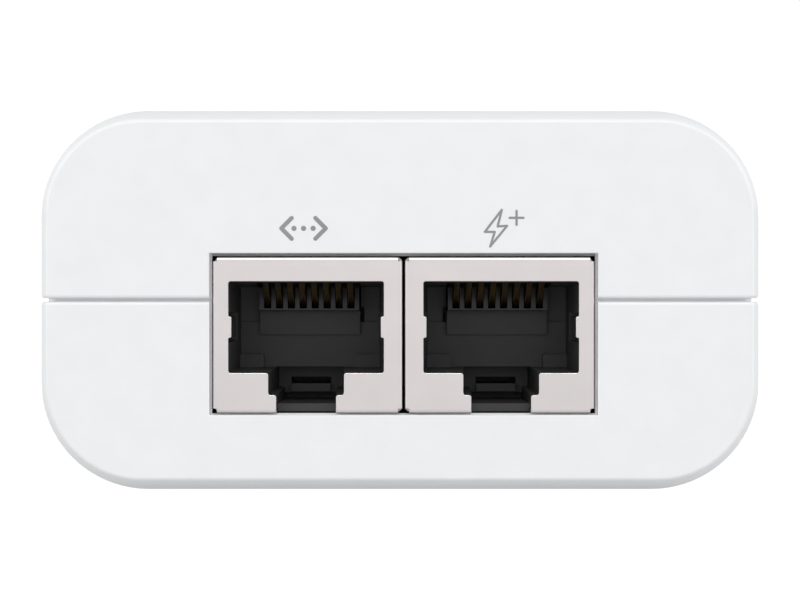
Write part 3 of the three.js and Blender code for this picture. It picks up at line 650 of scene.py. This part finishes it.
def data_symbol():
    """Two chevrons pointing away from three dots: the port that carries data only."""
    x, z = -7.97, 5.92
    reach, notch, rise, width = 1.83, 0.98, 0.855, 0.35
    dot_pitch, dot_size, dot_half = 0.79, 0.43, 0.001
    lines = []
    for side in (-1, 1):
        tip = (x + side * reach, z)
        tail = x + side * notch
        lines += chain([(tail, z + rise), tip, (tail, z - rise)], width)
    for step in (-1, 0, 1):
        dot = x + dot_pitch * step
        lines.append(((dot - dot_half, z), (dot + dot_half, z), dot_size))
    return drawn("data_symbol", lines)


def power_symbol():
    """An outlined lightning bolt and a plus: the port that also carries power."""
    width = 0.19
    tip = (8.41, 7.45)
    bolt = [tip, (7.01, 5.63), (7.83, 5.63), (7.45, 4.42), (8.85, 6.13), (8.07, 6.08), tip]
    x, z, arm = 9.63, 6.79, 0.57
    lines = chain(bolt, width)
    lines.append(((x - arm, z), (x + arm, z), width))
    lines.append(((x, z - arm), (x, z + arm), width))
    return drawn("power_symbol", lines)


# ---------------------------------------------------------------- jacks


class Jack:
    """One jack's own frame: the origin is at its front, in the middle of its base."""

    def __init__(self, name):
        self.name = name
        self.side, self.contacts_body = JACKS[name]
        low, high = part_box(name + "_shield")
        self.x = (low[0] + high[0]) / 2
        self.y = low[1]
        self.z = high[2] - JACK_H
        self.back = high[1]
        self.port_x = self.x + self.side * PORT_SHIFT

    def point(self, x, y, z):
        """A point from millimetres in the port's own frame."""
        return (self.port_x + x * MM, self.y + y * MM, self.z + z * MM)

    def box(self, x, y, z):
        """A box from its ranges in millimetres in the port's own frame."""
        return box(*zip(*(self.point(*corner) for corner in zip(x, y, z))))


def port_outline(jack):
    """The opening in the shield's front: the plug's body, two grounding tabs and the stepped latch slot."""
    right = [
        (KEY_HALF, -1), (KEY_HALF, LATCH_STEP), (LATCH_HALF, LATCH_STEP), (LATCH_HALF, SHOULDER),
        (PORT_HALF, SHOULDER), (PORT_HALF, TAB_LOW), (TAB_HALF, TAB_LOW), (TAB_HALF, TAB_HIGH),
        (PORT_HALF, TAB_HIGH), (PORT_HALF, PORT_TOP),
    ]
    outline = right + [(-x, z) for x, z in reversed(right)]
    return [(jack.port_x + x * MM, jack.z + z * MM) for x, z in outline]


def shield(jack):
    """The folded sheet round a jack."""
    mid = jack.z + JACK_H / 2
    outline = rounded_rectangle(JACK_W, JACK_H, 0.45 * MM, jack.x, mid, 6)
    run = [(d, -g) for d, g in quarter(FOLD_R, 6)]
    rings = [[(x, jack.y + d, z) for x, z in grown(outline, g)] for d, g in run]
    rings.append([(x, jack.back, z) for x, z in outline])
    body = loft(rings, jack.name + "_shield_sheet")
    inner = rounded_rectangle(JACK_W - 2 * SHEET, JACK_H - 2 * SHEET, 0.2 * MM, jack.x, mid, 4)
    hollow = prism_y(inner, jack.y + SHEET, jack.back - SHEET)
    cut(body, hollow)
    past = 1 * MM
    top = jack.z + JACK_H
    for side in (-1, 1):
        edge = sorted((jack.x + side * (JACK_W / 2 - RELIEF), jack.x + side * JACK_W))
        for height in ((jack.z - past, jack.z + RELIEF), (top - RELIEF, top + past)):
            cut(body, box(edge, (jack.y - past, jack.y + RELIEF_DEPTH), height))
    open_base = jack.box((-7.35, 7.35), (3.2, 20.2), (-1, 0.6))
    lip_notch = jack.box((-KEY_HALF, KEY_HALF), (0.4, 3.4), (-1, 0.28))
    cut(body, open_base, lip_notch)
    triangulate(body)
    port = rounded_corners(port_outline(jack), 0.2 * MM, 4)
    cut(body, window_tool(port, jack.y, 1, SHEET + 0.3 * MM, 0.05 * MM))
    soften(body)
    return place(body, ROOT, "shield", jack.name + "_shield")


def shield_springs(jack):
    """The grounding tabs bent in from both sides of the port, in the nickel darkened as painted shade."""
    path = [(6.32, 0.1), (6.18, 2.0), (6.1, 4.2), (6.25, 5.4), (6.5, 6.3)]
    half = 0.09
    low, high = TAB_LOW + 0.03, TAB_HIGH - 0.03
    for side, label in ((-1, "left"), (1, "right")):
        rings = []
        for x, y in path:
            ring = [(x - half, low), (x + half, low), (x + half, high), (x - half, high)]
            rings.append([jack.point(side * px, y, pz) for px, pz in ring])
        tab = loft(rings, f"{jack.name}_tab_{label}")
        soften(tab, 0.05 * MM)
        place(tab, ROOT, "shield", finish=SHADED_TAB_NICKEL)


def taper(jack, mouth, end, depths):
    """A cutter that narrows towards the rear. Each end is (half width, low z, high z) in millimetres."""
    rings = []
    for (half, low, high), y in zip((mouth, end), depths):
        corners = [(-half, low), (half, low), (half, high), (-half, high)]
        rings.append([jack.point(x, y, z) for x, z in corners])
    return loft(rings)


def housing(jack):
    """The moulded insulator: plug cavity, latch channel, and room for the contact insert behind them."""
    sides = (jack.x - 7.5 * MM, jack.x + 7.5 * MM)
    body = box(sides, (jack.y + 0.3 * MM, jack.y + 20.2 * MM), (jack.z + 0.3 * MM, jack.z + 12.55 * MM))
    body.name = jack.name + "_insulator"
    cavity_mouth = (PORT_HALF + CLEAR, SHOULDER - CLEAR, PORT_TOP + CLEAR)
    channel_mouth = (LATCH_HALF + CLEAR, LATCH_STEP - CLEAR, 3.38)
    key_half = KEY_HALF + CLEAR
    cut(
        body,
        taper(jack, cavity_mouth, (5.99, 3.55, 10.46), (MOUTH, CAVITY_END)),
        taper(jack, channel_mouth, (2.8, 1.75, 3.65), (MOUTH, CHANNEL_END)),
        taper(jack, (key_half, KEY_FLOOR, 1.8), (2.3, KEY_FLOOR, 1.8), (MOUTH, CHANNEL_END)),
    )
    insert_room = [jack.box((-4.4, 4.4), (3, 13.2), (8.4, 13)), jack.box((-5.4, 5.4), (13, 21), (0, 13))]
    slot_beside_comb = jack.box(sorted((-jack.side * 4.4, -jack.side * 4.68)), (9.8, 13.5), (7.44, 8.74))
    above_lip = jack.box((-key_half, key_half), (MOUTH, 2), (0, 0.72))
    key_well = jack.box(KEY_WELL[0], (12, 13.5), KEY_WELL[1])
    latch_well = jack.box(LATCH_WELL[0], (12.4, 13.5), LATCH_WELL[1])
    cut(body, key_well, above_lip, *insert_room, latch_well, slot_beside_comb)
    for side in (-1, 1):
        rear_pocket = jack.box(sorted((side * 4.31, side * 5.94)), (9.8, 10.35), (7.44, 8.74))
        tab_pocket = jack.box(sorted((side * 5.8, side * 7.6)), (0, 7.3), (5.85, 8.3))
        cut(body, rear_pocket, tab_pocket)
        step = jack.box(sorted((side * 3.97, side * 6.19)), (9.2, 10.2), (3.35, 4.66))
        peg_x, peg_y = jack.x + side * 5.7 * MM, jack.y + 8.9 * MM
        join(body, step, rod_z(1.5 * MM, peg_x, peg_y, jack.z - 2.2 * MM, jack.z + 0.6 * MM))
    bar_under_comb = jack.box((-4.31, 4.31), (9.5, 10.2), (6.37, 8.4))
    latch_ledge = jack.box((-1.7, 1.7), (11.8, 12.8), (1.37, 2.06))
    lip = jack.box((-2.4, 2.4), (2, 3.2), (0.05, 0.5))
    join(body, bar_under_comb, latch_ledge, lip)
    soften(body, 0.05 * MM)
    return place(body, ROOT, "insulator", jack.name + "_housing")


def contact_insert(jack):
    """The comb, cover and rear block that hold the contact wires."""
    insert = jack.box((-4.2, 4.2), (3.2, 18.2), (11.75, 12.45))
    insert.name = jack.name + "_comb"
    rear_block = jack.box((-5.2, 5.2), (13.4, 18.6), (0.4, 12.45))
    latch_well = jack.box(LATCH_WELL[0], (13, 17), LATCH_WELL[1])
    key_well = jack.box(KEY_WELL[0], (13, 14.4), KEY_WELL[1])
    cut(rear_block, latch_well, key_well)
    join(insert, rear_block, jack.box((-4.28, 4.28), (COVER_FRONT, COVER_BACK), (8.45, 8.62)))
    tooth = 0.2
    for i in range(WIRES + 1):
        x = (i - WIRES / 2) * WIRE_PITCH
        join(insert, jack.box((x - tooth, x + tooth), (COVER_FRONT, COVER_BACK), (8.5, 10.4)))
    soften(insert, 0.05 * MM)
    place(insert, ROOT, "insulator", jack.name + "_contact_insert")


def contact_leads(jack):
    """The fixed part of each wire: along the comb, and down through the board in two rows."""
    half, thickness = 0.21, 0.3
    lead_low = PIVOT_Z + BEND_R - thickness / 2
    for i in range(WIRES):
        x = (i - (WIRES - 1) / 2) * WIRE_PITCH
        across = (x - half, x + half)
        row = 17.3 if i % 2 else 14.75
        lead = jack.box(across, (3.8, row), (lead_low, lead_low + thickness))
        lead.name = f"{jack.name}_lead_{i + 1}"
        tail = jack.box(across, (row - 0.2, row + 0.2), (-3.1, 1.2))
        tail.name = f"{jack.name}_tail_{i + 1}"
        for part in (lead, tail):
            soften(part, 0.06 * MM)
            place(part, ROOT, "contact")


def contact_path():
    """One spring wire's middle line in (y, z): round its front bend, down to its knee and on to its tip."""
    aim_y, aim_z = 8.7, 9.2
    knee = Vector((8.6, 8.95))
    tip = Vector((9.9, 8.72))
    sag = 0.06
    bend_steps, run_steps, tip_steps = 8, 6, 4
    start = math.radians(90)
    end = math.radians(270) + math.atan2(aim_z - PIVOT_Z, aim_y - PIVOT_Y)
    points = []
    for k in range(bend_steps + 1):
        angle = start + (end - start) * k / bend_steps
        points.append(Vector((PIVOT_Y, PIVOT_Z)) + Vector((math.cos(angle), math.sin(angle))) * BEND_R)
    drop = points[-1]
    for k in range(1, run_steps + 1):
        points.append(drop.lerp(knee, k / run_steps))
    for k in range(1, tip_steps + 1):
        t = k / tip_steps
        points.append(knee.lerp(tip, t) - Vector((0, sag * math.sin(math.pi * t))))
    return points


def contact_wire(jack, number):
    """A flat spring wire swept along its path."""
    path = contact_path()
    section = rounded_rectangle(WIRE_W, WIRE_T, 0.09, steps=3)
    x = (number - 1 - (WIRES - 1) / 2) * WIRE_PITCH
    rings = []
    for i, point in enumerate(path):
        along = (path[min(i + 1, len(path) - 1)] - path[max(i - 1, 0)]).normalized()
        across = Vector((-along.y, along.x))
        ring = []
        for u, v in section:
            y, z = point + across * v
            ring.append(jack.point(x + u, y, z))
        rings.append(ring)
    wire = loft(rings, f"{jack.name}_wire_{number}")
    soften(wire)
    return place(wire, jack.contacts_body, "contact", f"{jack.name}_contact_{number}")


# ---------------------------------------------------------------- build

top_shell()
base_shell()
rating_label()
data_symbol()
power_symbol()
for jack_name in JACKS:
    jack = Jack(jack_name)
    shield(jack)
    shield_springs(jack)
    housing(jack)
    contact_insert(jack)
    contact_leads(jack)
    for wire_number in range(1, WIRES + 1):
        contact_wire(jack, wire_number)

soften(frame["nodes"]["mains_inlet_housing"], 0.25 * MM, segments=3)
for pin in ("line", "neutral", "earth"):
    soften(frame["nodes"][f"mains_inlet_{pin}_pin"], 0.18 * MM, segments=3)

# ---------------------------------------------------------------- sweep and light

WHITE = 1.05  # of the sweep and the sky for the camera
SWEEP_HALF = 3.0
SWEEP_ALBEDO = 0.25
SWEEP_GLOW = 0.45
SKY_LEVEL = 0.46
SKY_SIDES = 1.39  # added towards -X and +X
SKY_FRONT = 0.65  # added in a narrow patch behind the camera, for the shields to reflect
KEY_PLACE = (0, -1.05, 1.0)
KEY_SIZE = 0.55
KEY_POWER = 5.7


def floor():
    """A white sweep for the camera, clear from below. As light it is much dimmer than the studio above."""
    corners = [(x, y, 0) for x, y in rectangle(2 * SWEEP_HALF, 2 * SWEEP_HALF)]
    sweep = new_object("floor", corners, [(0, 1, 2, 3)])
    sweep.location.z = BASE - 0.05 * MM  # keeps it off the underside
    material = bpy.data.materials.new("sweep")
    material.use_nodes = True
    tree, shader = nodes_of(material)
    make, link = tree.nodes.new, tree.links.new
    shader.inputs["Base Color"].default_value = (*[SWEEP_ALBEDO] * 3, 1)
    shader.inputs["Roughness"].default_value = 0.9
    shader.inputs["Specular IOR Level"].default_value = 0.0
    shader.inputs["Emission Color"].default_value = (1, 1, 1, 1)
    shader.inputs["Emission Strength"].default_value = SWEEP_GLOW
    white = make("ShaderNodeEmission")
    white.inputs["Color"].default_value = (1, 1, 1, 1)
    white.inputs["Strength"].default_value = WHITE
    ray = make("ShaderNodeLightPath")
    mix = make("ShaderNodeMixShader")
    out = next(n for n in tree.nodes if n.type == "OUTPUT_MATERIAL")
    link(ray.outputs["Is Camera Ray"], mix.inputs["Fac"])
    link(shader.outputs["BSDF"], mix.inputs[1])
    link(white.outputs["Emission"], mix.inputs[2])
    clear = make("ShaderNodeBsdfTransparent")
    geometry = make("ShaderNodeNewGeometry")
    one_sided = make("ShaderNodeMixShader")
    link(geometry.outputs["Backfacing"], one_sided.inputs["Fac"])
    link(mix.outputs["Shader"], one_sided.inputs[1])
    link(clear.outputs["BSDF"], one_sided.inputs[2])
    link(one_sided.outputs["Shader"], out.inputs["Surface"])
    sweep.data.materials.append(material)


def world():
    """White all round for the camera. As light it is brightest from both sides and behind the camera."""
    sky = bpy.data.worlds.new("studio")
    bpy.context.scene.world = sky
    sky.use_nodes = True
    tree = sky.node_tree
    make, link = tree.nodes.new, tree.links.new
    tree.nodes.clear()
    direction = make("ShaderNodeTexCoord")
    axes = make("ShaderNodeSeparateXYZ")
    link(direction.outputs["Generated"], axes.inputs["Vector"])

    def math_node(operation, *values):
        node = make("ShaderNodeMath")
        node.operation = operation
        for socket, value in zip(node.inputs, values):
            if isinstance(value, float):
                socket.default_value = value
            else:
                link(value, socket)
        return node.outputs["Value"]

    sideways = math_node("POWER", math_node("ABSOLUTE", axes.outputs["X"]), 2.0)
    forwards = math_node("MAXIMUM", math_node("MULTIPLY", axes.outputs["Y"], -1.0), 0.0)
    level = math_node("MULTIPLY_ADD", sideways, SKY_SIDES, SKY_LEVEL)
    strength = math_node("MULTIPLY_ADD", math_node("POWER", forwards, 8.0), SKY_FRONT, level)

    seen, cast = make("ShaderNodeBackground"), make("ShaderNodeBackground")
    seen.inputs["Strength"].default_value = WHITE
    for background in (seen, cast):
        background.inputs["Color"].default_value = (1, 1, 1, 1)
    link(strength, cast.inputs["Strength"])
    ray = make("ShaderNodeLightPath")
    mix = make("ShaderNodeMixShader")
    out = make("ShaderNodeOutputWorld")
    link(ray.outputs["Is Camera Ray"], mix.inputs["Fac"])
    link(cast.outputs["Background"], mix.inputs[1])
    link(seen.outputs["Background"], mix.inputs[2])
    link(mix.outputs["Shader"], out.inputs["Surface"])


def softbox(name, location, size, power):
    """A square softbox that faces the case."""
    data = bpy.data.lights.new(name, "AREA")
    data.size = size
    data.energy = power
    light = bpy.data.objects.new(name, data)
    bpy.context.scene.collection.objects.link(light)
    light.location = location
    light.rotation_mode = "QUATERNION"
    light.rotation_quaternion = (Vector((0, 0, MID_Z)) - light.location).to_track_quat("-Z", "Y")


floor()
world()
softbox("key_softbox", KEY_PLACE, KEY_SIZE, KEY_POWER)

bpy.context.scene.view_settings.view_transform = "Standard"
bpy.context.scene.view_settings.look = "None"
